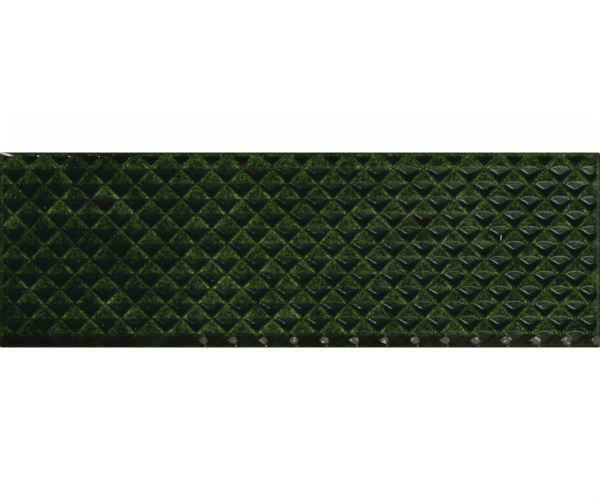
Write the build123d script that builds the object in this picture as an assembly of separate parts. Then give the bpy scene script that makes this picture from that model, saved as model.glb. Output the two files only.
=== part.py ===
from build123d import *

import os
from math import atan2, degrees, hypot, radians, tan

# Glazed ceramic wall tile with a face of sunk diamonds, lying on its keyed back.
# Millimetres, +Z up out of the glazed face, X along the tile's length. The origin is at the
# centre of the plane that the back ribs rest on.

# Tile blank
TILE_LENGTH = 200.0
TILE_WIDTH = 65.0
TILE_THICKNESS = 9.0  # from the back ribs to the ridge tops of the face
CORNER_RADIUS = 0.9  # upright corners
ARRIS_RADIUS = 0.8  # rounded edge round the face
BACK_BEVEL = 0.7  # bevel round the back

# Diamond relief of the face
DIAMOND_LENGTH = 10.07  # ridge crossing to ridge crossing, along X
DIAMOND_WIDTH = 9.94  # ridge crossing to ridge crossing, along Y
RIDGE_WIDTH = 0.8  # flat top between two dimples
FLANK_SLOPE = 37.0  # degrees, the narrow facets under the ridges
FACET_SLOPE = 10.5  # degrees, the two broad facets that face along Y
DIMPLE_DEPTH = 0.65  # level floor of a dimple, below the ridge tops
PATTERN_SHIFT_X = 0.8  # dimple nearest the tile's middle, from the middle
PATTERN_SHIFT_Y = 1.9

# Plain border that closes the cut dimples
BORDER_WIDTH = 1.4
BORDER_DRAFT = 38.0  # degrees of lean of the wall under the border
LEAST_REACH = 2.0  # a dimple that reaches less than this past the border is left out

# Keyed back: shallow pockets between ribs
POCKET_COLUMNS = 10
POCKET_ROWS = 3
POCKET_DEPTH = 0.8
POCKET_DRAFT = 30.0  # degrees of lean of a pocket's walls
BACK_RIB_WIDTH = 3.0
BACK_RIM_WIDTH = 4.0

TOOL_CLEARANCE = 0.5  # how far a cutting shape stands out of the face that it cuts

# The grid of ridges: its two headings in plan, and the distance between neighbouring ridges
RIDGE_HEADING = degrees(atan2(DIAMOND_WIDTH, DIAMOND_LENGTH))
RIDGE_SPACING = DIAMOND_LENGTH * DIAMOND_WIDTH / hypot(DIAMOND_LENGTH, DIAMOND_WIDTH)
MOUTH_WIDTH = RIDGE_SPACING - RIDGE_WIDTH
MOUTH_SHARE = MOUTH_WIDTH / RIDGE_SPACING


def tile_blank():
    """The plain pressed slab, with its upright corners, face edge and back edge eased."""
    plan = RectangleRounded(TILE_LENGTH, TILE_WIDTH, CORNER_RADIUS)
    slab = extrude(plan, TILE_THICKNESS)
    slab = fillet(slab.faces().sort_by(Axis.Z)[-1].edges(), ARRIS_RADIUS)
    return chamfer(slab.faces().sort_by(Axis.Z)[0].edges(), BACK_BEVEL)


def trough(section, heading, reach):
    """A bar of the given section, its mouth at Z 0, running both ways along a heading in plan."""
    along = Vector(1, 0, 0).rotate(Axis.Z, heading)
    across = along.rotate(Axis.Z, 90)
    section_plane = Plane(origin=(0, 0, 0), x_dir=across, z_dir=along)
    return extrude(section_plane * section, reach, both=True)


def drafted_section(width, depth, draft):
    """A flat-bottomed trough whose two walls lean in towards its floor."""
    half_mouth = width / 2
    half_floor = half_mouth - depth * tan(radians(draft))
    outline = Polyline(
        (-half_mouth, TOOL_CLEARANCE),
        (-half_mouth, 0),
        (-half_floor, -depth),
        (half_floor, -depth),
        (half_mouth, 0),
        (half_mouth, TOOL_CLEARANCE),
        close=True,
    )
    return make_face(outline)


def drafted_block(length, width, depth, draft):
    """A rectangular block that tapers downwards, its mouth at Z 0."""
    across_x = trough(drafted_section(width, depth, draft), 0, length)
    across_y = trough(drafted_section(length, depth, draft), 90, width)
    return across_x & across_y


def dimple_stud():
    """The die stud that presses one dimple: two broad facets along X, cut back by four flanks."""
    flanks = drafted_section(MOUTH_WIDTH, DIMPLE_DEPTH, 90 - FLANK_SLOPE)
    rising = trough(flanks, RIDGE_HEADING, DIAMOND_LENGTH)
    falling = trough(flanks, -RIDGE_HEADING, DIAMOND_LENGTH)
    facets = drafted_section(DIAMOND_WIDTH, DIMPLE_DEPTH, 90 - FACET_SLOPE)
    level = trough(facets, 0, DIAMOND_LENGTH)
    return rising & falling & level


def dimple_places():
    """Centres of the dimples, row by row, each row shifted by half a diamond from the next."""
    reach_x = TILE_LENGTH / 2 - BORDER_WIDTH + MOUTH_SHARE * DIAMOND_LENGTH / 2 - LEAST_REACH
    reach_y = TILE_WIDTH / 2 - BORDER_WIDTH + MOUTH_SHARE * DIAMOND_WIDTH / 2 - LEAST_REACH
    rows = int(TILE_WIDTH / DIAMOND_WIDTH) + 2
    columns = int(TILE_LENGTH / DIAMOND_LENGTH / 2) + 2
    for row in range(-rows, rows + 1):
        y = PATTERN_SHIFT_Y + row * DIAMOND_WIDTH / 2
        for column in range(-columns, columns + 1):
            x = PATTERN_SHIFT_X + (column + (row % 2) / 2) * DIAMOND_LENGTH
            if abs(x) < reach_x and abs(y) < reach_y:
                yield x, y


def dimple_cutters():
    """One stud for each dimple, the outer ones cut back to the room inside the border."""
    stud = dimple_stud()
    room_length = TILE_LENGTH - 2 * BORDER_WIDTH
    room_width = TILE_WIDTH - 2 * BORDER_WIDTH
    room_depth = DIMPLE_DEPTH + TOOL_CLEARANCE
    room = drafted_block(room_length, room_width, room_depth, BORDER_DRAFT)
    for x, y in dimple_places():
        cutter = Pos(x, y, 0) * stud
        beside_end = abs(x) > (room_length - DIAMOND_LENGTH) / 2
        beside_side = abs(y) > (room_width - DIAMOND_WIDTH) / 2
        if beside_end or beside_side:
            cutter = cutter & room
        yield Pos(0, 0, TILE_THICKNESS) * cutter


def pocket_cutters():
    """The drafted blocks that leave the back's ribs and rim standing."""
    pitch_x = (TILE_LENGTH - 2 * BACK_RIM_WIDTH + BACK_RIB_WIDTH) / POCKET_COLUMNS
    pitch_y = (TILE_WIDTH - 2 * BACK_RIM_WIDTH + BACK_RIB_WIDTH) / POCKET_ROWS
    length = pitch_x - BACK_RIB_WIDTH
    width = pitch_y - BACK_RIB_WIDTH
    pocket = Rot(180, 0, 0) * drafted_block(length, width, POCKET_DEPTH, POCKET_DRAFT)
    for place in GridLocations(pitch_x, pitch_y, POCKET_COLUMNS, POCKET_ROWS):
        yield place * pocket


def wall_tile():
    """The whole tile as one fired piece."""
    tile = tile_blank() - list(pocket_cutters())
    return tile - list(dimple_cutters())


os.makedirs("parts", exist_ok=True)
export_step(wall_tile(), "parts/wall_tile.step")
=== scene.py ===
from math import cos, hypot, pi, radians, sin, tan

import bmesh
import bpy
import numpy as np
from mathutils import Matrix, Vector, noise


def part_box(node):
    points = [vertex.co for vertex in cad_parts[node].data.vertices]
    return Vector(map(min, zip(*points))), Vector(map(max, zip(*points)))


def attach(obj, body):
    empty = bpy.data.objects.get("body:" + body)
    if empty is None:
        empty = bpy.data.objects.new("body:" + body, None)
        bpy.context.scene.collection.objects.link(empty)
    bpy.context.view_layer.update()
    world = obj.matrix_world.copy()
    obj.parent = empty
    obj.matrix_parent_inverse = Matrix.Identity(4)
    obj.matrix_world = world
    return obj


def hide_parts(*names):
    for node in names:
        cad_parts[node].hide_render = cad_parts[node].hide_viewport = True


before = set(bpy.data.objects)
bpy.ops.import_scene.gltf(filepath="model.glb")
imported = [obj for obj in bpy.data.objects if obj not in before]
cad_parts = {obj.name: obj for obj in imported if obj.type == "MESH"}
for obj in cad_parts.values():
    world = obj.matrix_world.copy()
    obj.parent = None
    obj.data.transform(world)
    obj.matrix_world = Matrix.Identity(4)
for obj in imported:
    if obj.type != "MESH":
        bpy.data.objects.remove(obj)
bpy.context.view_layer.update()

# Looks of a glazed wall tile with a face of sunk diamonds, lying on its back, glazed face up.
# Lengths of the tile are in millimetres and become metres where the mesh and the material are
# written. Lengths of the stage, the lamps and the camera are in metres.

MM = 0.001

# Tile blank, as in the part
TILE_LENGTH, TILE_WIDTH, TILE_THICKNESS = [
    (high - low) / MM for low, high in zip(*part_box("wall_tile"))
]
ARRIS_RADIUS = 0.8
BACK_BEVEL = 0.7

# Diamond relief, as in the part
DIAMOND_LENGTH = 10.07
DIAMOND_WIDTH = 9.94
RIDGE_WIDTH = 0.8
DIMPLE_DEPTH = 0.65
PATTERN_SHIFT_X = 0.8
PATTERN_SHIFT_Y = 1.9
BORDER_WIDTH = 1.4
BORDER_SLOPE = 0.9  # the wall under the border, softened by the glaze
LEAST_REACH = 2.0
RIDGE_SPACING = DIAMOND_LENGTH * DIAMOND_WIDTH / hypot(DIAMOND_LENGTH, DIAMOND_WIDTH)
MOUTH_SHARE = 1 - RIDGE_WIDTH / RIDGE_SPACING
HALF_MOUTH = MOUTH_SHARE * DIAMOND_WIDTH / 2

# Keyed back, as in the part
POCKET_COLUMNS = 10
POCKET_ROWS = 3
POCKET_DEPTH = 0.8
POCKET_LEAN = tan(radians(30.0))
BACK_RIB_WIDTH = 3.0
BACK_RIM_WIDTH = 4.0

# How the glaze softens the pressed relief
RIDGE_DROOP = 0.17  # slope of the ridge tops, down the tile
FLANK_SLOPE = 0.85  # of the narrow flanks above a dimple
RIDGE_EASE = 0.015  # rounding of the ridge shoulders
HIP_EASE = 0.4  # rounding where two flanks meet
POOL_HALF_LENGTH = 3.3  # almond outline of the glaze pooled on a dimple's floor
POOL_RISE = 0.95  # its reach above the dimple's middle, towards +Y
POOL_DROP = 1.45  # its reach below the middle, as the glaze ran down the tile
POOL_HOLLOW = 0.0045  # rise of a pool's surface towards its two tips, over the distance squared
LEDGE_TILT = 0.06  # slope of the ledge above the pool
MIDDLE_TURN = (0.3, -0.3)  # where a dimple's upper half changes to its lower half, along Y
SHORE_EASE = 0.35  # rounding where a pool meets the lower facets, at the left of a dimple
CREASE_EASE = 0.06  # and at its middle and right
SHORE_RUN = (-1.7, -0.5)  # where the one changes to the other, along X
LEDGE_EASE = 0.03  # rounding where the ledge meets the upper flanks
BORDER_EASE = 0.12
RIPPLE_DEPTH = 0.03  # unevenness of the fired glaze
RIPPLE_LENGTH = 4.0
LEDGE_HOLLOW = LEDGE_TILT * POOL_RISE / POOL_HALF_LENGTH ** 2 + POOL_HOLLOW

# Drips of glaze along the lower edge
DRIP_PLACE = (7.83, -30.0)  # middle of one of them
DRIP_SIZE = (1.7, 1.4)  # half length and half width
DRIP_SHOULDER = (1.0, 0.6)  # from the foot of a drip's mound to its top, as shares of its size
DRIP_TAIL = (1.05, -1.85)  # a small drop below each, from the drip's middle
DRIP_TAIL_SIZE = 0.5
DRIP_DEPTH = 0.12
DRIP_RUN = (-38.0, -32.0)  # where the drips begin, along X
DRIP_FOOT = (7.4, 8.0)  # height at which they end on the tile's edge
FOOT_RUN = (-27.9, -29.0)  # where the glaze gets thick towards the lower edge, along Y

# Mesh lines from a ridge to the middle of a dimple, measured from the ridge
KNOTS = (0.0, 0.385, 0.415, 0.8, 1.25, 1.8, 2.4, 2.95)
SPARE_CELLS = 2  # diamonds laid out past the tile's edge, and trimmed again
SHEET_MARGIN = 1.0  # how far past the arris a face of the sheet may start
TRIM_SLACK = 1e-5
MERGE_DISTANCE = 0.02  # corners of the mesh closer than this become one
RIM_SLACK = 0.03  # how far such a corner can lie off the rim that it belongs to
NUDGE = 0.01  # step over which the slope of the face is measured
ARRIS_STEPS = 5
CORNER_STEPS = 4
SIDE_HEIGHTS = (6.6, 5.0, 3.0)
THICKNESS_LAYER = "glaze_thickness"
NORMAL_LAYER = "face_normal"
CELL_LAYERS = ("dimple_x", "dimple_y", "off_crest", "green_share", "relief_share")

# Thickness of the glaze, from 0 to 1
# the pale top and left edges are partly painted light, the dark bottom edge partly painted shade
EDGE_GLAZE_AND_LIGHT = (0.12, 0.1, 0.95, 0.5)  # on the edges towards +Y, -X, -Y and +X
SHOULDER_GLAZE = 0.65  # on the turn from the face to an edge
SHOULDER_RUN = (0.62, 0.4)  # where that turn begins, outwards from the face
FOOT_GLAZE = 0.84
POOLED_GLAZE = 0.8
PLAIN_GLAZE = 0.37
BORDER_SLACK = 0.1  # this close to the border, the face counts as plain

# The green part of a dimple: thinly glazed, and painted as its lit upper half, with the lower half
# as painted shade
GREEN_TURN = (-0.3, 0.5)  # where it begins, along Y from the dimple's middle
CREST_GREEN = 0.7
CREST_HALF_WIDTH = 0.1
TOP_GREEN = 0.5  # on the crests of the dimples that the upper border cuts
TOP_SHOULDER = 0.8  # width of the green flanks round those dimples
TOP_FALL = 2.0  # how sharply these flanks end


def smooth_min(first, second, ease):
    """The lower of two heights, with a rounded change from one to the other."""
    gap = np.maximum(ease - np.abs(first - second), 0)
    return np.minimum(first, second) - gap * gap / (4 * ease)


def smooth_max(first, second, ease):
    """The higher of two heights, with a rounded change from one to the other."""
    return -smooth_min(-first, -second, ease)


def ramp(value, start, end):
    """0 before start, 1 after end, and a smooth rise between them."""
    share = np.clip((value - start) / (end - start), 0, 1)
    return share * share * (3 - 2 * share)


def dimple_at(x, y):
    """The middle of the diamond that holds a point, and the distances to its two nearest ridges."""
    along = (x - PATTERN_SHIFT_X) / DIAMOND_LENGTH
    across = (y - PATTERN_SHIFT_Y) / DIAMOND_WIDTH
    rising, falling = along + across, along - across
    column, row = np.rint(rising), np.rint(falling)
    middle_x = PATTERN_SHIFT_X + (column + row) / 2 * DIAMOND_LENGTH
    middle_y = PATTERN_SHIFT_Y + (column - row) / 2 * DIAMOND_WIDTH
    to_rising = (0.5 - np.abs(rising - column)) * RIDGE_SPACING
    to_falling = (0.5 - np.abs(falling - row)) * RIDGE_SPACING
    return middle_x, middle_y, to_rising, to_falling


def is_pressed(middle_x, middle_y):
    """Whether the diamond with this middle has a dimple, or is left plain beside the border."""
    reach_x = TILE_LENGTH / 2 - BORDER_WIDTH + MOUTH_SHARE * DIAMOND_LENGTH / 2 - LEAST_REACH
    reach_y = TILE_WIDTH / 2 - BORDER_WIDTH + MOUTH_SHARE * DIAMOND_WIDTH / 2 - LEAST_REACH
    return (np.abs(middle_x) < reach_x) & (np.abs(middle_y) < reach_y)


def inside_border(x, y):
    """How far a point lies inside the border's inner edge."""
    room_x = TILE_LENGTH / 2 - BORDER_WIDTH - np.abs(x)
    room_y = TILE_WIDTH / 2 - BORDER_WIDTH - np.abs(y)
    return np.minimum(room_x, room_y)


def relief_depth(x, y):
    """Depth of the glazed face below the ridge tops."""
    middle_x, middle_y, to_rising, to_falling = dimple_at(x, y)
    along, across = np.abs(x - middle_x), y - middle_y
    off_ridge = smooth_min(to_rising, to_falling, HIP_EASE) - RIDGE_WIDTH / 2
    droop = RIDGE_DROOP * (RIDGE_WIDTH / 2 + np.minimum(to_rising, to_falling) * np.sign(across))
    lean = DIAMOND_WIDTH / DIAMOND_LENGTH
    off_mouth = HALF_MOUTH - along * lean - np.abs(across)
    beside = np.minimum(along, POOL_HALF_LENGTH)
    shore = POOL_DROP * (1 - (beside / POOL_HALF_LENGTH) ** 2)
    reach = HALF_MOUTH - beside * lean - shore
    flank = smooth_max(FLANK_SLOPE * off_ridge, droop, RIDGE_EASE)
    slope = smooth_max(DIMPLE_DEPTH * off_mouth / reach, np.maximum(droop, 0), RIDGE_EASE)
    ledge = DIMPLE_DEPTH + LEDGE_TILT * (POOL_RISE - across) - LEDGE_HOLLOW * along ** 2
    pool = DIMPLE_DEPTH - POOL_HOLLOW * along ** 2
    upper = smooth_min(smooth_min(flank, ledge, LEDGE_EASE), pool, LEDGE_EASE)
    shore_ease = SHORE_EASE + (CREASE_EASE - SHORE_EASE) * ramp(x - middle_x, *SHORE_RUN)
    lower = smooth_min(slope, pool, shore_ease)
    depth = upper + (lower - upper) * ramp(across, *MIDDLE_TURN)
    wall = BORDER_SLOPE * smooth_max(inside_border(x, y), 0, BORDER_EASE)
    depth = smooth_min(depth, wall, BORDER_EASE)
    depth = np.where(is_pressed(middle_x, middle_y), np.maximum(depth, 0), 0)
    return depth + (DRIP_DEPTH - depth) * drip_share(x, y)


def drip_share(x, y):
    """1 on the drips of glaze that hang over the ridges along the lower edge."""
    step = (x - DRIP_PLACE[0]) / DIAMOND_LENGTH
    out_x = (step - np.rint(step)) * DIAMOND_LENGTH / DRIP_SIZE[0]
    out_y = (y - DRIP_PLACE[1]) / DRIP_SIZE[1]
    return ramp(np.hypot(out_x, out_y), *DRIP_SHOULDER) * ramp(x, *DRIP_RUN)


def ripple(x, y):
    """Slow unevenness of the fired surface, from 0 to about 1."""
    places = zip(x / RIPPLE_LENGTH, y / RIPPLE_LENGTH)
    return np.array([0.5 + 0.5 * noise.noise(Vector((p, q, 0))) for p, q in places])


def face_height(x, y):
    """Height of the glazed face above the plane that the tile lies on."""
    return TILE_THICKNESS - relief_depth(x, y) - RIPPLE_DEPTH * ripple(x, y)


def face_normals(x, y):
    """Directions square to the glazed face."""
    rise_x = (face_height(x + NUDGE, y) - face_height(x - NUDGE, y)) / (2 * NUDGE)
    rise_y = (face_height(x, y + NUDGE) - face_height(x, y - NUDGE)) / (2 * NUDGE)
    normals = np.stack((-rise_x, -rise_y, np.ones_like(x)), axis=1)
    return normals / np.linalg.norm(normals, axis=1, keepdims=True)


def glaze_thickness(x, y):
    """Thickness of the glaze on the face: thick in the dimples and along the lower edge."""
    middle_x, middle_y, _, _ = dimple_at(x, y)
    plain = ~is_pressed(middle_x, middle_y) | (inside_border(x, y) < BORDER_SLACK)
    thickness = np.where(plain, PLAIN_GLAZE, POOLED_GLAZE)
    return thickness + (FOOT_GLAZE - thickness) * ramp(y, *FOOT_RUN)


def place_in_dimple(x, y):
    """What the glaze needs to know of a point, in the order of CELL_LAYERS."""
    middle_x, middle_y, to_rising, to_falling = dimple_at(x, y)
    off_crest = np.minimum(to_rising, to_falling)
    cut_by_top = middle_y > TILE_WIDTH / 2 - BORDER_WIDTH
    # A dimple that the upper border cuts has no pool, which a far place along X tells the material
    along = np.where(cut_by_top, -DIAMOND_LENGTH, x - middle_x)
    across = np.where(cut_by_top, TOP_FALL * (TOP_SHOULDER - off_crest), y - middle_y)
    green = ramp(y - middle_y, *GREEN_TURN)
    green = np.where(off_crest < CREST_HALF_WIDTH, CREST_GREEN, green)
    green = np.where(cut_by_top, TOP_GREEN, green)
    pressed = is_pressed(middle_x, middle_y) & (inside_border(x, y) > BORDER_SLACK)
    relief = np.where(pressed, 1 - ramp(y, *FOOT_RUN), 0)
    return along, across, off_crest, green, relief


def edge_glaze_and_light(way, out):
    """Glaze on the tile's edges: pale along the top and left, partly thin glaze and partly painted
    light, and dark along the bottom, partly thick glaze and partly painted shade.
    """
    over = (max(way[1], 0), max(-way[0], 0), max(-way[1], 0), max(way[0], 0))
    edge = sum(share * share * thick for share, thick in zip(over, EDGE_GLAZE_AND_LIGHT))
    return edge + (max(SHOULDER_GLAZE, edge) - edge) * float(ramp(out, *SHOULDER_RUN))


def lattice_lines(lowest, highest):
    """Mesh lines across the diamonds, closer together beside the ridges."""
    half = [knot / RIDGE_SPACING for knot in KNOTS]
    shares = half + [0.5] + [1 - share for share in reversed(half[1:])]
    return np.array([cell - 0.5 + share for cell in range(lowest, highest) for share in shares])


def trim_sheet(sheet, half_length, half_width):
    """Cut a sheet back to a rectangle round the origin."""
    for normal, half in (((1, 0, 0), half_length), ((0, 1, 0), half_width)):
        for sign in (1, -1):
            outward = Vector(normal) * sign
            everything = sheet.verts[:] + sheet.edges[:] + sheet.faces[:]
            bmesh.ops.bisect_plane(
                sheet, geom=everything, dist=TRIM_SLACK,
                plane_co=outward * half, plane_no=outward, clear_outer=True,
            )


def face_sheet(half_length, half_width):
    """The glazed face as a flat sheet that follows the diamonds, trimmed to the arris."""
    reach = int(half_length / DIAMOND_LENGTH + half_width / DIAMOND_WIDTH) + SPARE_CELLS
    lines = lattice_lines(-reach, reach + 1)
    rising, falling = np.meshgrid(lines, lines, indexing="ij")
    x = PATTERN_SHIFT_X + (rising + falling) / 2 * DIAMOND_LENGTH
    y = PATTERN_SHIFT_Y + (rising - falling) / 2 * DIAMOND_WIDTH
    near_x = np.abs(x) < half_length + SHEET_MARGIN
    near = near_x & (np.abs(y) < half_width + SHEET_MARGIN)
    kept = near[:-1, :-1] | near[1:, :-1] | near[:-1, 1:] | near[1:, 1:]
    sheet = bmesh.new()
    for name in (THICKNESS_LAYER, *CELL_LAYERS):
        sheet.verts.layers.float.new(name)
    sheet.verts.layers.float_vector.new(NORMAL_LAYER)
    corners = {}

    def corner(i, j):
        if (i, j) not in corners:
            corners[i, j] = sheet.verts.new((x[i, j], y[i, j], 0))
        return corners[i, j]

    for i, j in zip(*np.nonzero(kept)):
        sheet.faces.new((corner(i, j), corner(i, j + 1), corner(i + 1, j + 1), corner(i + 1, j)))
    trim_sheet(sheet, half_length, half_width)
    bmesh.ops.remove_doubles(sheet, verts=sheet.verts, dist=MERGE_DISTANCE)
    return sheet


def rim_loop(sheet):
    """The corners along the sheet's edge, in order, against the clock seen from above."""
    following = {}
    for edge in sheet.edges:
        if len(edge.link_loops) == 1:
            loop = edge.link_loops[0]
            following[loop.vert] = loop.link_loop_next.vert
    first = next(iter(following))
    order = [first]
    while following[order[-1]] is not first:
        order.append(following[order[-1]])
    return order


def outward_rays(order, half_length, half_width):
    """For each corner of the rim, the ways out of the tile: one, or a fan at the tile's corners."""
    rays = []
    for vert in order:
        at_end = abs(abs(vert.co.x) - half_length) < RIM_SLACK
        at_side = abs(abs(vert.co.y) - half_width) < RIM_SLACK
        out_x = (1 if vert.co.x > 0 else -1, 0)
        out_y = (0, 1 if vert.co.y > 0 else -1)
        if at_end and at_side:
            turns_from_x = out_x[0] * out_y[1] > 0
            start, end = (out_x, out_y) if turns_from_x else (out_y, out_x)
            for step in range(CORNER_STEPS + 1):
                turn = step / CORNER_STEPS * pi / 2
                way = [p * cos(turn) + q * sin(turn) for p, q in zip(start, end)]
                rays.append((vert, way))
        else:
            rays.append((vert, out_x if at_end else out_y))
    return rays


def bridge(mesh, upper, lower):
    """Faces between two rings of corners; a corner that repeats gives a triangle."""
    count = len(upper)
    for n in range(count):
        after = (n + 1) % count
        around = [upper[n], lower[n], lower[after], upper[after]]
        if around[0] is around[3]:
            around = around[:3]
        mesh.faces.new(around)


def add_edges(mesh, rays):
    """The rounded arris, the four sides and the bevel of the back. Returns the lowest ring."""
    profile = []
    for step in range(1, ARRIS_STEPS + 1):
        turn = step / ARRIS_STEPS * pi / 2
        profile.append((ARRIS_RADIUS * sin(turn), TILE_THICKNESS - ARRIS_RADIUS * (1 - cos(turn))))
    profile += [(ARRIS_RADIUS, height) for height in SIDE_HEIGHTS]
    profile += [(ARRIS_RADIUS, BACK_BEVEL), (ARRIS_RADIUS - BACK_BEVEL, 0)]
    layer = mesh.verts.layers.float[THICKNESS_LAYER]
    ring = [vert for vert, way in rays]
    for out, height in profile:
        below = []
        for vert, way in rays:
            place = (vert.co.x + way[0] * out, vert.co.y + way[1] * out, height)
            below.append(mesh.verts.new(place))
            below[-1][layer] = edge_glaze_and_light(way, out)
        bridge(mesh, ring, below)
        ring = below
    return ring


def ring_edges(mesh, ring):
    """The edges that join each corner of a ring to the next."""
    return [mesh.edges.get((ring[n], ring[(n + 1) % len(ring)])) for n in range(len(ring))]


def add_back(mesh, ring):
    """The flat rim and ribs of the back, with its pockets."""
    pitch_x = (TILE_LENGTH - 2 * BACK_RIM_WIDTH + BACK_RIB_WIDTH) / POCKET_COLUMNS
    pitch_y = (TILE_WIDTH - 2 * BACK_RIM_WIDTH + BACK_RIB_WIDTH) / POCKET_ROWS
    half_x = (pitch_x - BACK_RIB_WIDTH) / 2
    half_y = (pitch_y - BACK_RIB_WIDTH) / 2
    shrink = POCKET_DEPTH * POCKET_LEAN
    flat_edges = ring_edges(mesh, ring)
    for column in range(POCKET_COLUMNS):
        for row in range(POCKET_ROWS):
            x = (column - (POCKET_COLUMNS - 1) / 2) * pitch_x
            y = (row - (POCKET_ROWS - 1) / 2) * pitch_y
            mouth, floor = [], []
            for side_x, side_y in ((-1, -1), (1, -1), (1, 1), (-1, 1)):
                mouth.append(mesh.verts.new((x + side_x * half_x, y + side_y * half_y, 0)))
                inner_x = x + side_x * (half_x - shrink)
                inner_y = y + side_y * (half_y - shrink)
                floor.append(mesh.verts.new((inner_x, inner_y, POCKET_DEPTH)))
            bridge(mesh, floor, mouth)
            mesh.faces.new(reversed(floor))
            flat_edges += ring_edges(mesh, mouth)
    bmesh.ops.triangle_fill(mesh, use_beauty=True, edges=flat_edges, normal=(0, 0, -1))


def set_normals(mesh):
    """Give the glazed face the exact directions kept with its points; the rest keeps its own."""
    kept = mesh.attributes[NORMAL_LAYER]
    directions = [
        tuple(exact.vector if exact.vector.length > 0 else vertex.normal)
        for exact, vertex in zip(kept.data, mesh.vertices)
    ]
    mesh.attributes.remove(kept)
    mesh.normals_split_custom_set_from_vertices(directions)


def shape_face(sheet):
    """Raise the flat sheet to the glazed face, and keep with its points what the glaze needs."""
    x = np.array([vert.co.x for vert in sheet.verts])
    y = np.array([vert.co.y for vert in sheet.verts])
    heights = face_height(x, y)
    normals = face_normals(x, y)
    layers = [sheet.verts.layers.float[name] for name in (THICKNESS_LAYER, *CELL_LAYERS)]
    values = np.stack((glaze_thickness(x, y), *place_in_dimple(x, y)), axis=1)
    normal_layer = sheet.verts.layers.float_vector[NORMAL_LAYER]
    for vert, height, normal, row in zip(sheet.verts, heights, normals, values):
        vert.co.z = height
        vert[normal_layer] = normal
        for layer, value in zip(layers, row):
            vert[layer] = value


def build_tile():
    """The whole tile as one closed mesh."""
    half_length = TILE_LENGTH / 2 - ARRIS_RADIUS
    half_width = TILE_WIDTH / 2 - ARRIS_RADIUS
    shape = face_sheet(half_length, half_width)
    shape_face(shape)
    lowest = add_edges(shape, outward_rays(rim_loop(shape), half_length, half_width))
    add_back(shape, lowest)
    bmesh.ops.recalc_face_normals(shape, faces=shape.faces)
    for vert in shape.verts:
        vert.co *= MM
    for part in shape.faces:
        part.smooth = True
    mesh = bpy.data.meshes.new("glazed_tile")
    shape.to_mesh(mesh)
    shape.free()
    set_normals(mesh)
    tile = bpy.data.objects.new("glazed_tile", mesh)
    bpy.context.collection.objects.link(tile)
    return tile


def new_material(name):
    """An empty node material and its tree."""
    material = bpy.data.materials.new(name)
    material.use_nodes = True
    material.node_tree.nodes.clear()
    return material, material.node_tree


def add_node(tree, kind, inputs=None, **settings):
    """A node with its settings, and its inputs by name: a value, or a socket to link from."""
    made = tree.nodes.new(kind)
    for key, value in settings.items():
        setattr(made, key, value)
    for key, value in (inputs or {}).items():
        if isinstance(value, bpy.types.NodeSocket):
            tree.links.new(value, made.inputs[key])
        else:
            made.inputs[key].default_value = value
    return made


def color_stops(tree, factor, stops):
    """A colour ramp with the given stops: (place, colour)."""
    made = add_node(tree, "ShaderNodeValToRGB", {"Fac": factor})
    elements = made.color_ramp.elements
    while len(elements) < len(stops):
        elements.new(0.5)
    for element, (place, color) in zip(elements, stops):
        element.position = place
        element.color = (*color, 1)
    return made.outputs["Color"]


def math_node(tree, operation, first, second=0.0):
    """The result of one sum on one or two values or sockets."""
    return add_node(
        tree, "ShaderNodeMath", {0: first, 1: second}, operation=operation,
    ).outputs[0]


def total(tree, first, *others):
    """The sum of values and sockets."""
    for other in others:
        first = math_node(tree, "ADD", first, other)
    return first


def product(tree, first, *others):
    """The product of values and sockets."""
    for other in others:
        first = math_node(tree, "MULTIPLY", first, other)
    return first


def vector_node(tree, operation, inputs):
    """The vector that one sum on vectors gives."""
    return add_node(
        tree, "ShaderNodeVectorMath", inputs, operation=operation,
    ).outputs["Vector"]


def vector_length(tree, vector):
    """The length of a vector."""
    return add_node(
        tree, "ShaderNodeVectorMath", {0: vector}, operation="LENGTH",
    ).outputs["Value"]


def join_axes(tree, x, y):
    """A level vector made of two values."""
    return add_node(tree, "ShaderNodeCombineXYZ", {"X": x, "Y": y, "Z": 0.0}).outputs["Vector"]


def blend(tree, factor, first, second):
    """The first value where the factor is 0, the second where it is 1."""
    inputs = {"Factor": factor, 2: first, 3: second}
    return add_node(tree, "ShaderNodeMix", inputs, data_type="FLOAT").outputs[0]


def blend_vectors(tree, factor, first, second):
    """The first vector where the factor is 0, the second where it is 1."""
    inputs = {"Factor": factor, 4: first, 5: second}
    return add_node(tree, "ShaderNodeMix", inputs, data_type="VECTOR").outputs[1]


def blend_colors(tree, factor, first, second):
    """The first colour where the factor is 0, the second where it is 1."""
    inputs = {"Factor": factor, 6: first, 7: second}
    return add_node(tree, "ShaderNodeMix", inputs, data_type="RGBA").outputs[2]


def to_world(tree, vector, kind):
    """A vector or normal of the tile, turned with it."""
    return add_node(
        tree, "ShaderNodeVectorTransform", {"Vector": vector},
        vector_type=kind, convert_from="OBJECT", convert_to="WORLD",
    ).outputs["Vector"]


def noise_value(tree, place, scale, detail=2.0, roughness=0.5):
    """Grey noise of the given scale, in waves to the metre."""
    inputs = {"Vector": place, "Scale": scale, "Detail": detail, "Roughness": roughness}
    return add_node(tree, "ShaderNodeTexNoise", inputs).outputs["Fac"]


def spread(tree, value, span, result):
    """A value carried from one range to another, and kept inside the new one."""
    inputs = {
        "Value": value,
        "From Min": span[0], "From Max": span[1],
        "To Min": result[0], "To Max": result[1],
    }
    return add_node(tree, "ShaderNodeMapRange", inputs, clamp=True).outputs["Result"]


def spread_mm(tree, length, span, result):
    """The same for a length in metres and a range in millimetres."""
    return spread(tree, length, (span[0] * MM, span[1] * MM), result)


def cell_value(tree, name):
    """One of the values kept with the points of the glazed face."""
    return add_node(tree, "ShaderNodeAttribute", attribute_name=name).outputs["Fac"]


# In the material, a range called a run lies along the tile, in millimetres. A range called an
# edge is where a form ends, also in millimetres, unless it says that it is a share.
RISE = (0.0, 1.0)
FALL = (1.0, 0.0)
SHARE_RANGE = (0.0, 1.0)  # of a value that is itself a share
NOISE_RANGE = (0.3, 0.7)  # where most of a noise lies

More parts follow.
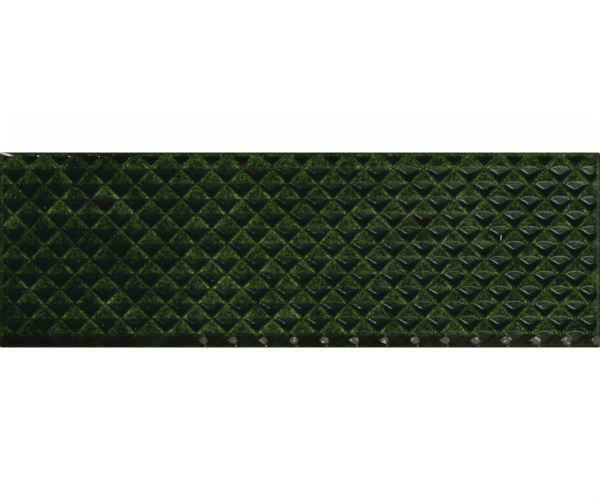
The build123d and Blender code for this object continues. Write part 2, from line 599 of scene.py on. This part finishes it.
# Colours, and the thickness of glaze that has them
GLAZE_COLORS = (
    (0.0, (0.200, 0.245, 0.062)),
    (0.18, (0.062, 0.100, 0.022)),
    (0.32, (0.036, 0.070, 0.009)),
    (0.52, (0.014, 0.033, 0.003)),
    (0.78, (0.004, 0.009, 0.002)),
    (1.0, (0.0012, 0.0025, 0.0012)),
)
BISCUIT_COLOR = (0.62, 0.55, 0.45)
# beige painted sheen on the drips, for the lamp's reflection there
DRIP_SHEEN_COLOR = (0.03, 0.028, 0.018)
PAINTED_HIGHLIGHT_COLOR = (0.75, 0.76, 0.68)
GLAZE_IOR = 1.5

# The edge between the green and the pooled part of a dimple
TOP_ROW_EDGE = (-9.5, -6.5)  # dimple_x lies below this where the upper border cuts a dimple
# painted light: the green reaches further down towards the right end, under the window
GREEN_LIGHT_RUN = (0.0, 55.0)
GREEN_LIGHT_SHIFT = (0.0, 0.45)  # how far the green reaches down, more so at the right
WAVER_SCALE = 500.0
WAVER = (-0.35, 0.2)
GREEN_EDGE = (-0.25, 0.4)
CREST_EDGE = (0.34, 0.46)


def below_top_row(tree):
    """0 on the dimples that the upper border cuts, 1 on all others."""
    return spread(tree, cell_value(tree, "dimple_x"), TOP_ROW_EDGE, RISE)


def thin_and_lit_half(tree, place, axes):
    """1 on the upper half of a dimple, where the glaze ran thin and which is painted as lit, 0 on
    its pooled lower half, which is painted as shaded.
    """
    waver = spread(tree, noise_value(tree, place, WAVER_SCALE), NOISE_RANGE, WAVER)
    # painted light: the green reaches lower towards the right end
    light_shift = spread_mm(tree, axes["X"], GREEN_LIGHT_RUN, GREEN_LIGHT_SHIFT)
    light_shift = product(tree, light_shift, below_top_row(tree))
    across = total(tree, cell_value(tree, "dimple_y"), waver, light_shift)
    green = spread(tree, across, GREEN_EDGE, RISE)
    inside = spread(tree, cell_value(tree, "off_crest"), CREST_EDGE, RISE)
    green = blend(tree, inside, cell_value(tree, "green_share"), green)
    return product(tree, green, cell_value(tree, "relief_share"))


# The light strip beside the crests: over this reach along Y from a dimple's middle it changes
STRIP_REACH = (0.0, 3.0)
STRIP_WIDTH = (0.85, 0.42)
STRIP_EDGE = (-0.2, 0.14)
STRIP_FADE = (0.3, 3.0)
STRIP_THINNING = (0.37, 0.25)


def bright_strip(tree):
    """How much thinner the glaze is just below a crest: most at the left and right of a dimple."""
    across = math_node(tree, "ABSOLUTE", cell_value(tree, "dimple_y"))
    width = spread(tree, across, STRIP_REACH, STRIP_WIDTH)
    past = math_node(tree, "SUBTRACT", cell_value(tree, "off_crest"), width)
    strip = spread(tree, past, STRIP_EDGE, FALL)
    return product(tree, strip, spread(tree, across, STRIP_FADE, STRIP_THINNING))


# Outline, slope and gloss of the drips; their edges are shares of their size
DRIP_GROWTH_RUN = (30.0, 90.0)
DRIP_GROWTH = (1.0, 1.3)
DRIP_TAPER = (-1.05, 0.3)  # from the point at the left to the full width
DRIP_POINT = 0.25  # width of the point, as a share
DRIP_EDGE = (0.8, 1.05)
DRIP_TAIL_CORE = 0.6
RAGGED_SCALE = 700.0
RAGGED = (-0.15, 0.15)
DRIP_NORMAL = (0.115, 0.135, 1.0)
BLISTER_SCALE = 800.0
BLISTER_RANGE = (0.58, 0.66)
BLISTER_ROUGHNESS = (0.35, 0.14)


def drip_and_sheen_mask(tree, place, axes):
    """1 on the drips along the lower edge, pointed to the left, each with a small drop below; the
    same outline carries their painted sheen.
    """
    half = DIAMOND_LENGTH * MM / 2
    off_x = math_node(tree, "SUBTRACT", axes["X"], DRIP_PLACE[0] * MM)
    off_x = add_node(
        tree, "ShaderNodeMath", {0: off_x, 1: half, 2: -half}, operation="WRAP",
    ).outputs[0]
    off_y = math_node(tree, "SUBTRACT", axes["Y"], DRIP_PLACE[1] * MM)
    out_x = math_node(tree, "DIVIDE", off_x, DRIP_SIZE[0] * MM)
    full_width = DRIP_SIZE[1] * MM
    width = spread(tree, out_x, DRIP_TAPER, (full_width * DRIP_POINT, full_width))
    out_y = math_node(tree, "DIVIDE", off_y, width)
    grown = spread_mm(tree, axes["X"], DRIP_GROWTH_RUN, DRIP_GROWTH)
    out = math_node(tree, "DIVIDE", vector_length(tree, join_axes(tree, out_x, out_y)), grown)
    ragged = spread(tree, noise_value(tree, place, RAGGED_SCALE), NOISE_RANGE, RAGGED)
    drip_and_sheen = spread(tree, total(tree, out, ragged), DRIP_EDGE, FALL)

    tail_x = math_node(tree, "SUBTRACT", off_x, DRIP_TAIL[0] * MM)
    tail_y = math_node(tree, "SUBTRACT", off_y, DRIP_TAIL[1] * MM)
    tail_edge = (DRIP_TAIL_SIZE * DRIP_TAIL_CORE, DRIP_TAIL_SIZE)
    off_tail = vector_length(tree, join_axes(tree, tail_x, tail_y))
    drip_and_sheen = math_node(tree, "MAXIMUM", drip_and_sheen, spread_mm(tree, off_tail, tail_edge, FALL))
    begun = spread_mm(tree, axes["X"], DRIP_RUN, RISE)
    on_face = spread_mm(tree, axes["Z"], DRIP_FOOT, RISE)
    return product(tree, drip_and_sheen, begun, on_face)


# Painted highlights on the top-left arris, along the upper border and in one streak: middle, half
# length, half width, heading in degrees
PAINTED_HIGHLIGHTS = (
    ((-97.7, 31.85), 2.3, 0.36, -14.0),
    ((-87.0, 31.2), 0.36, 0.18, -15.0),
    ((-76.7, 31.1), 0.28, 0.14, -10.0),
    ((-66.7, 31.0), 0.22, 0.12, -10.0),
    ((-56.7, 30.4), 0.2, 0.12, -10.0),
    ((66.8, 4.2), 1.2, 0.14, 85.0),
)
HIGHLIGHT_EDGE = (0.7, 1.1)  # as a share of a mark's size
# small painted glints scattered over the relief
GLINT_SCALE = 110.0
GLINT_EDGE = (0.006, 0.012)  # as a share of the distance between two grains
GLINT_LOT = 0.66  # share of the grains that are left out


def painted_highlights(tree, place):
    """1 on the painted highlights, and on small painted glints scattered over the relief."""
    found = 0.0
    for (x, y), half_length, half_width, heading in PAINTED_HIGHLIGHTS:
        inputs = {
            "Vector": place,
            "Location": (x * MM, y * MM, TILE_THICKNESS * MM),
            "Rotation": (0.0, 0.0, radians(heading)),
            "Scale": (half_length * MM, half_width * MM, MM),
        }
        moved = add_node(tree, "ShaderNodeMapping", inputs, vector_type="TEXTURE")
        out = vector_length(tree, moved.outputs["Vector"])
        found = math_node(tree, "MAXIMUM", found, spread(tree, out, HIGHLIGHT_EDGE, FALL))
    glint_cells = add_node(
        tree, "ShaderNodeTexVoronoi", {"Vector": place, "Scale": GLINT_SCALE},
        voronoi_dimensions="2D",
    ).outputs
    grain = spread(tree, glint_cells["Distance"], GLINT_EDGE, FALL)
    lot = add_node(tree, "ShaderNodeSeparateColor", {"Color": glint_cells["Color"]}).outputs["Red"]
    drawn = math_node(tree, "GREATER_THAN", lot, GLINT_LOT)
    grain = product(tree, grain, drawn, cell_value(tree, "relief_share"))
    return math_node(tree, "MAXIMUM", found, grain)


# The pools, and the gloss on and round them
POOL_LOWER_EDGE = (0.1, 0.5)
POOL_UPPER_EDGE = (-0.35, -0.1)
SHORE_EDGE = (-0.6, -0.2)
GLOSSY, SHORE, SOFT, DULL = 0.1, 0.18, 0.28, 0.8  # roughness
SOFT_EDGE = (-1.3, 0.2)
LEFT_BORDER = (-97.8, -96.8)
BORDER_RUN = (20.0, 90.0)
BORDER_ROUGHNESS = (DULL, 0.4)  # the border is less dull towards the right end


def pool_mask(tree):
    """1 on the glaze pooled in a dimple, and 1 on the pool and on its lower shore."""
    along, across = cell_value(tree, "dimple_x"), cell_value(tree, "dimple_y")
    share = math_node(tree, "POWER", math_node(tree, "DIVIDE", along, POOL_HALF_LENGTH), 2.0)
    bow = math_node(tree, "SUBTRACT", 1.0, share)
    below = total(tree, across, product(tree, bow, POOL_DROP))
    above = math_node(tree, "SUBTRACT", across, product(tree, bow, POOL_RISE))
    over_shore = spread(tree, below, POOL_LOWER_EDGE, RISE)
    in_pool = product(tree, over_shore, spread(tree, above, POOL_UPPER_EDGE, FALL))
    return in_pool, spread(tree, below, SHORE_EDGE, RISE)


def pool_roughness(tree, axes, in_pool, by_shore, lip):
    """Gloss of the face: dull on the plain border, soft in the pools, bright elsewhere."""
    pool = spread(tree, cell_value(tree, "dimple_x"), SOFT_EDGE, (SHORE, SOFT))
    facets = spread(tree, by_shore, SHARE_RANGE, (GLOSSY, SHORE))
    dimple = blend(tree, in_pool, facets, pool)
    dimple = math_node(tree, "MAXIMUM", dimple, product(tree, lip, LIP_ROUGHNESS))
    off_end = spread_mm(tree, axes["X"], LEFT_BORDER, RISE)
    inside = product(tree, cell_value(tree, "relief_share"), off_end)
    border = spread_mm(tree, axes["X"], BORDER_RUN, BORDER_ROUGHNESS)
    gloss = blend(tree, inside, border, dimple)
    return blend(tree, below_top_row(tree), DULL, gloss)


# The rolled lip of glaze along the upper shore of a pool
LIP_WIDTH = 0.27  # half of its width
LIP_BOW = 2.5  # power of its curve, which is flatter than the pool's
LIP_EDGE = (0.4, 1.0)  # as a share of that half width
LIP_ENDS = (-0.05, 0.1)  # as a share of the bow's height
LIP_OFF_CREST = (0.4, 0.5)
LIP_TILT = 0.14  # how far it turns up the tile
LIP_LEAN = 0.027  # how far it turns to the right
LIP_FAN = 0.02  # how far its two ends turn aside
LIP_FAN_BEND = 3.0  # power by which they do so
LIP_ROUGHNESS = 0.28


def lip_mask(tree):
    """1 on the rolled lip of glaze along the upper shore of each pool."""
    share = math_node(tree, "DIVIDE", cell_value(tree, "dimple_x"), POOL_HALF_LENGTH)
    bend = math_node(tree, "POWER", math_node(tree, "ABSOLUTE", share), LIP_BOW)
    bow = math_node(tree, "SUBTRACT", 1.0, bend)
    curve = product(tree, bow, POOL_RISE)
    off_lip = math_node(tree, "SUBTRACT", cell_value(tree, "dimple_y"), curve)
    off_lip = math_node(tree, "ABSOLUTE", math_node(tree, "DIVIDE", off_lip, LIP_WIDTH))
    return product(
        tree,
        spread(tree, off_lip, LIP_EDGE, FALL),
        spread(tree, bow, LIP_ENDS, RISE),
        spread(tree, cell_value(tree, "off_crest"), LIP_OFF_CREST, RISE),
        cell_value(tree, "relief_share"),
    )


def tilted_normal(tree, normal, lip, drip_and_sheen):
    """Tilt the surface on the lips, and on the drips, which slope over ridge and dimple alike."""
    along = cell_value(tree, "dimple_x")
    level = total(tree, product(tree, along, 2 * LEDGE_HOLLOW), LIP_LEAN)
    share = math_node(tree, "DIVIDE", along, POOL_HALF_LENGTH)
    fan = product(tree, math_node(tree, "POWER", share, LIP_FAN_BEND), LIP_FAN)
    turn = join_axes(tree, total(tree, level, fan), LIP_TILT)
    turn = vector_node(tree, "SCALE", {0: turn, "Scale": lip})
    tilted = vector_node(tree, "ADD", {0: normal, 1: to_world(tree, turn, "VECTOR")})
    slope = to_world(tree, DRIP_NORMAL, "NORMAL")
    return vector_node(tree, "NORMALIZE", {0: blend_vectors(tree, drip_and_sheen, tilted, slope)})


# What makes the glaze thicker or thinner than the mesh says, with the painted light and shade laid
# on it, and where
# how much lighter the upper half of a dimple is: thinner glaze, and painted light
UPPER_HALF_LIGHTENING = 0.32
# the low end of a dimple's lower half is darker: glaze run thick there, and painted shade
LOW_END_OFF_CREST = (0.4, 0.6)
LOW_END_EXTRA = (0.0, 0.15)
LOW_END_EDGE = (-2.2, -1.0)
# painted light: the pools are painted lighter towards the right end, under the window
POOL_LIGHT_RUN = (-10.0, 80.0)
POOL_PAINTED_LIGHT = (0.0, -0.18)  # the pools look lighter towards the right end
POOL_LOW_EDGE = (-0.8, -0.2)
POOL_LOW_SHARE = (1.0, 0.4)
# the face is made darker towards the left end of the tile
LEFT_RUN = (-75.0, -25.0)
LEFT_EXTRA = (0.12, 0.0)
RIGHT_RUN = (55.0, 90.0)
RIGHT_EXTRA = (0.0, 0.09)
RIGHT_SHARE = (0.7, 1.0)  # on the plain border and on the relief

# Its speckle, patches, clouds and blots: waves to the metre, range of the noise, and what it gives
SPECKLE_SCALE = 1250.0
SPECKLE_GRIT = 0.6
SPECKLE_RANGE = (0.38, 0.64)
SPECKLE = (-0.2, 0.32)
SPECKLE_SHARE = (0.3, 1.0)  # in thick glaze and in thin glaze
PATCH_SCALE = 260.0
PATCH_RANGE = (0.35, 0.7)
PATCHES = (-0.1, 0.18)
CLOUD_SCALE = 45.0
CLOUDS = (-0.06, 0.06)
BLOT_SCALE = 120.0
BLOT_RANGE = (0.35, 0.65)
BLOTS = (-0.1, 0.2)
BLOT_RUN = (-70.0, -20.0)
BLOT_SHARE = (1.0, 0.2)


def uneven_glaze(tree, place, axes, green):
    """What the speckle, the patches, the clouds and the blots add to the thickness."""
    plain = spread(tree, cell_value(tree, "relief_share"), SHARE_RANGE, FALL)
    plain = product(tree, plain, spread_mm(tree, axes["Y"], FOOT_RUN[::-1], RISE))
    thin = math_node(tree, "MAXIMUM", green, plain)
    speckle = noise_value(tree, place, SPECKLE_SCALE, roughness=SPECKLE_GRIT)
    speckle = spread(tree, speckle, SPECKLE_RANGE, SPECKLE)
    speckle = product(tree, speckle, spread(tree, thin, SHARE_RANGE, SPECKLE_SHARE))
    patches = spread(tree, noise_value(tree, place, PATCH_SCALE), PATCH_RANGE, PATCHES)
    clouds = spread(tree, noise_value(tree, place, CLOUD_SCALE), NOISE_RANGE, CLOUDS)
    blots = noise_value(tree, place, BLOT_SCALE, detail=1.0)
    blots = spread(tree, blots, BLOT_RANGE, BLOTS)
    blots = product(tree, blots, spread_mm(tree, axes["X"], BLOT_RUN, BLOT_SHARE))
    return total(tree, speckle, patches, clouds, blots)


def glaze_color(tree, place, axes, in_pool):
    """Colour of the glaze, by its thickness, with painted light and shade added to it."""
    across = cell_value(tree, "dimple_y")
    relief = cell_value(tree, "relief_share")
    # upper halves painted lit and lower halves painted shaded, besides the glaze that ran thin and
    # pooled
    green = thin_and_lit_half(tree, place, axes)
    thinned_and_lit = product(tree, total(tree, bright_strip(tree), UPPER_HALF_LIGHTENING), green)
    thickness = math_node(tree, "SUBTRACT", cell_value(tree, THICKNESS_LAYER), thinned_and_lit)
    off_crest = spread(tree, cell_value(tree, "off_crest"), LOW_END_OFF_CREST, LOW_END_EXTRA)
    low_end = product(tree, spread(tree, across, LOW_END_EDGE, FALL), off_crest, relief)
    low = spread(tree, across, POOL_LOW_EDGE, POOL_LOW_SHARE)
    # painted light on the pools towards the right end
    pool_light = product(tree, spread_mm(tree, axes["X"], POOL_LIGHT_RUN, POOL_PAINTED_LIGHT), low, in_pool)
    left = spread_mm(tree, axes["X"], LEFT_RUN, LEFT_EXTRA)
    right = spread_mm(tree, axes["X"], RIGHT_RUN, RIGHT_EXTRA)
    right = product(tree, right, spread(tree, relief, SHARE_RANGE, RIGHT_SHARE))
    uneven = uneven_glaze(tree, place, axes, green)
    thickness = total(tree, thickness, low_end, pool_light, uneven, left, right)
    return color_stops(tree, thickness, GLAZE_COLORS)


# Bare clay low on the sides
GLAZE_FOOT = 5.2  # height down to which the glaze ran
GLAZE_FOOT_WAVER = 1.0
GLAZE_FOOT_EDGE = (-0.2, 0.2)
GLAZE_FOOT_SCALE = 220.0
BISCUIT_SCALE = 1400.0
BISCUIT_TONE = (0.82, 1.05)
BISCUIT_ROUGHNESS = 0.85


def bare_clay(tree, place, axes):
    """1 below the foot of the glaze, and the colour of the clay there."""
    waver = noise_value(tree, place, GLAZE_FOOT_SCALE, detail=3.0, roughness=0.6)
    lowest, highest = GLAZE_FOOT - GLAZE_FOOT_WAVER, GLAZE_FOOT + GLAZE_FOOT_WAVER
    foot = spread(tree, waver, NOISE_RANGE, (lowest * MM, highest * MM))
    above_foot = math_node(tree, "SUBTRACT", axes["Z"], foot)
    grain = noise_value(tree, place, BISCUIT_SCALE, detail=4.0, roughness=0.65)
    tone = spread(tree, grain, NOISE_RANGE, BISCUIT_TONE)
    clay = vector_node(tree, "SCALE", {0: BISCUIT_COLOR, "Scale": tone})
    return spread_mm(tree, above_foot, GLAZE_FOOT_EDGE, FALL), clay


# Fine unevenness of the fired surface
PEEL_SCALE = 700.0
PEEL_STRENGTH = 0.1
PEEL_DEPTH = 0.12


def glaze_material():
    """Green glaze, darker where it lies thick, with painted light, shade, sheen and highlights in
    its colour, over a pale body that shows low on the sides.
    """
    material, tree = new_material("glazed_ceramic")
    place = add_node(tree, "ShaderNodeTexCoord").outputs["Object"]
    axes = add_node(tree, "ShaderNodeSeparateXYZ", {"Vector": place}).outputs
    in_pool, by_shore = pool_mask(tree)
    lip = lip_mask(tree)
    drip_and_sheen = drip_and_sheen_mask(tree, place, axes)
    bare, clay = bare_clay(tree, place, axes)

    color = glaze_color(tree, place, axes, in_pool)
    color = blend_colors(tree, bare, color, clay)
    # painted highlights and glints in a pale colour
    color = blend_colors(tree, painted_highlights(tree, place), color, (*PAINTED_HIGHLIGHT_COLOR, 1))
    # the drips get a painted sheen
    color = blend_colors(tree, drip_and_sheen, color, (*DRIP_SHEEN_COLOR, 1))

    blister = noise_value(tree, place, BLISTER_SCALE, detail=1.0)
    blister = spread(tree, blister, BLISTER_RANGE, BLISTER_ROUGHNESS)
    roughness = pool_roughness(tree, axes, in_pool, by_shore, lip)
    roughness = blend(tree, drip_and_sheen, roughness, blister)
    roughness = blend(tree, bare, roughness, BISCUIT_ROUGHNESS)

    peel = noise_value(tree, place, PEEL_SCALE)
    bump = {"Height": peel, "Strength": PEEL_STRENGTH, "Distance": PEEL_DEPTH * MM}
    normal = add_node(tree, "ShaderNodeBump", bump).outputs["Normal"]
    normal = tilted_normal(tree, normal, lip, drip_and_sheen)
    surface = {"Base Color": color, "Roughness": roughness, "IOR": GLAZE_IOR, "Normal": normal}
    shader = add_node(tree, "ShaderNodeBsdfPrincipled", surface)
    add_node(tree, "ShaderNodeOutputMaterial", {"Surface": shader.outputs[0]})
    return material


# Stage, in metres
FLOOR_HALF = 6.0
FLOOR_LEVEL = -0.0002  # a hair under the tile
FLOOR_PAINT = (0.8, 0.8, 0.8, 1)
FLOOR_SHADE = (0.07, 0.07, 0.07, 1)
FLOOR_GLOW = 0.96
WHITE = (1, 1, 1)
HORIZON = (10.0, 22.0)  # degrees above it, from the pale walls to the dim ceiling
ROOM_LIGHT = (0.35, 0.13)


def floor_material():
    """A white floor that the camera sees as white, with a faint shadow left on it."""
    material, tree = new_material("studio_floor")
    path = add_node(tree, "ShaderNodeLightPath").outputs
    seen = math_node(tree, "MAXIMUM", path["Is Camera Ray"], path["Is Glossy Ray"])
    seen = math_node(tree, "MAXIMUM", seen, path["Is Transmission Ray"])
    paint = add_node(tree, "ShaderNodeBsdfDiffuse", {"Color": FLOOR_PAINT})
    faint = add_node(tree, "ShaderNodeBsdfDiffuse", {"Color": FLOOR_SHADE})
    glow = add_node(tree, "ShaderNodeEmission", {"Color": (*WHITE, 1), "Strength": FLOOR_GLOW})
    white = add_node(tree, "ShaderNodeAddShader", {0: faint.outputs[0], 1: glow.outputs[0]})
    sides = {"Fac": seen, 1: paint.outputs[0], 2: white.outputs[0]}
    both = add_node(tree, "ShaderNodeMixShader", sides)
    add_node(tree, "ShaderNodeOutputMaterial", {"Surface": both.outputs[0]})
    return material


def build_floor():
    """A plain pale floor under the tile."""
    mesh = bpy.data.meshes.new("floor")
    sides = ((-1, -1), (1, -1), (1, 1), (-1, 1))
    corners = [(x * FLOOR_HALF, y * FLOOR_HALF, FLOOR_LEVEL) for x, y in sides]
    mesh.from_pydata(corners, [], [(0, 1, 2, 3)])
    mesh.materials.append(floor_material())
    floor = bpy.data.objects.new("floor", mesh)
    bpy.context.collection.objects.link(floor)


def set_world():
    """A dim room with pale walls near the horizon."""
    world = bpy.data.worlds.new("studio")
    bpy.context.scene.world = world
    world.use_nodes = True
    tree = world.node_tree
    tree.nodes.clear()
    way = add_node(tree, "ShaderNodeTexCoord").outputs["Generated"]
    height = add_node(tree, "ShaderNodeSeparateXYZ", {"Vector": way}).outputs["Z"]
    strength = spread(tree, height, [sin(radians(angle)) for angle in HORIZON], ROOM_LIGHT)
    room = {"Color": (*WHITE, 1), "Strength": strength}
    light = add_node(tree, "ShaderNodeBackground", room)
    add_node(tree, "ShaderNodeOutputWorld", {"Surface": light.outputs[0]})


# Lamps: place in metres, width and height, and brightness of the surface
FACE = TILE_THICKNESS * MM
KEY_DISTANCE = 1.3
KEY_ELEVATION = radians(30.0)
KEY_SIZE = (1.2, 0.35)
KEY_RADIANCE = 14.6
WINDOW_PLACE = (0.2875, 0.17, 0.86)
WINDOW_SIZE = (0.225, 0.1)
WINDOW_RADIANCE = 13.5
WINDOW_TINT = (1.0, 0.97, 0.82)
FILL_PLACE = (-0.6, 1.15, 0.32)
FILL_SIZE = (1.0, 0.3)
FILL_RADIANCE = 9.0


def add_panel(name, place, aim, size, radiance, tint=WHITE):
    """A soft rectangular lamp that faces a point, with the brightness of its surface."""
    lamp = bpy.data.lights.new(name, "AREA")
    lamp.shape = "RECTANGLE"
    lamp.size, lamp.size_y = size
    lamp.energy = radiance * pi * size[0] * size[1]
    lamp.color = tint
    panel = bpy.data.objects.new(name, lamp)
    bpy.context.collection.objects.link(panel)
    panel.location = place
    panel.rotation_euler = (Vector(aim) - Vector(place)).to_track_quat("-Z", "Y").to_euler()
    panel.visible_camera = False
    return panel


def add_lamps():
    """A soft key along the tile's lower edge, a window above its right end and a fill behind."""
    middle = (0, 0, FACE)
    key_place = (0, -KEY_DISTANCE * cos(KEY_ELEVATION), KEY_DISTANCE * sin(KEY_ELEVATION))
    key = add_panel("key", key_place, middle, KEY_SIZE, KEY_RADIANCE)
    key.visible_glossy = False
    below_window = (*WINDOW_PLACE[:2], 0)
    add_panel("window", WINDOW_PLACE, below_window, WINDOW_SIZE, WINDOW_RADIANCE, WINDOW_TINT)
    fill = add_panel("fill", FILL_PLACE, middle, FILL_SIZE, FILL_RADIANCE)
    fill.visible_glossy = False


CAMERA_HEIGHT = 0.9
CLOSENESS = 1.0025  # the frame cuts a hair off both ends of the tile
SENSOR_WIDTH = 36.0


def add_camera():
    """A camera straight above the tile, with the tile's length across the whole frame."""
    data = bpy.data.cameras.new("camera")
    data.sensor_width = SENSOR_WIDTH
    widest = FACE - ARRIS_RADIUS * MM
    data.lens = SENSOR_WIDTH * CLOSENESS * (CAMERA_HEIGHT - widest) / (TILE_LENGTH * MM)
    camera = bpy.data.objects.new("camera", data)
    bpy.context.collection.objects.link(camera)
    camera.location = (0, 0, CAMERA_HEIGHT)
    bpy.context.scene.camera = camera


bpy.context.scene.view_settings.view_transform = "Standard"
add_camera()
set_world()
add_lamps()
build_floor()
tile = build_tile()
tile.data.materials.append(glaze_material())
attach(tile, "root")
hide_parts("wall_tile")
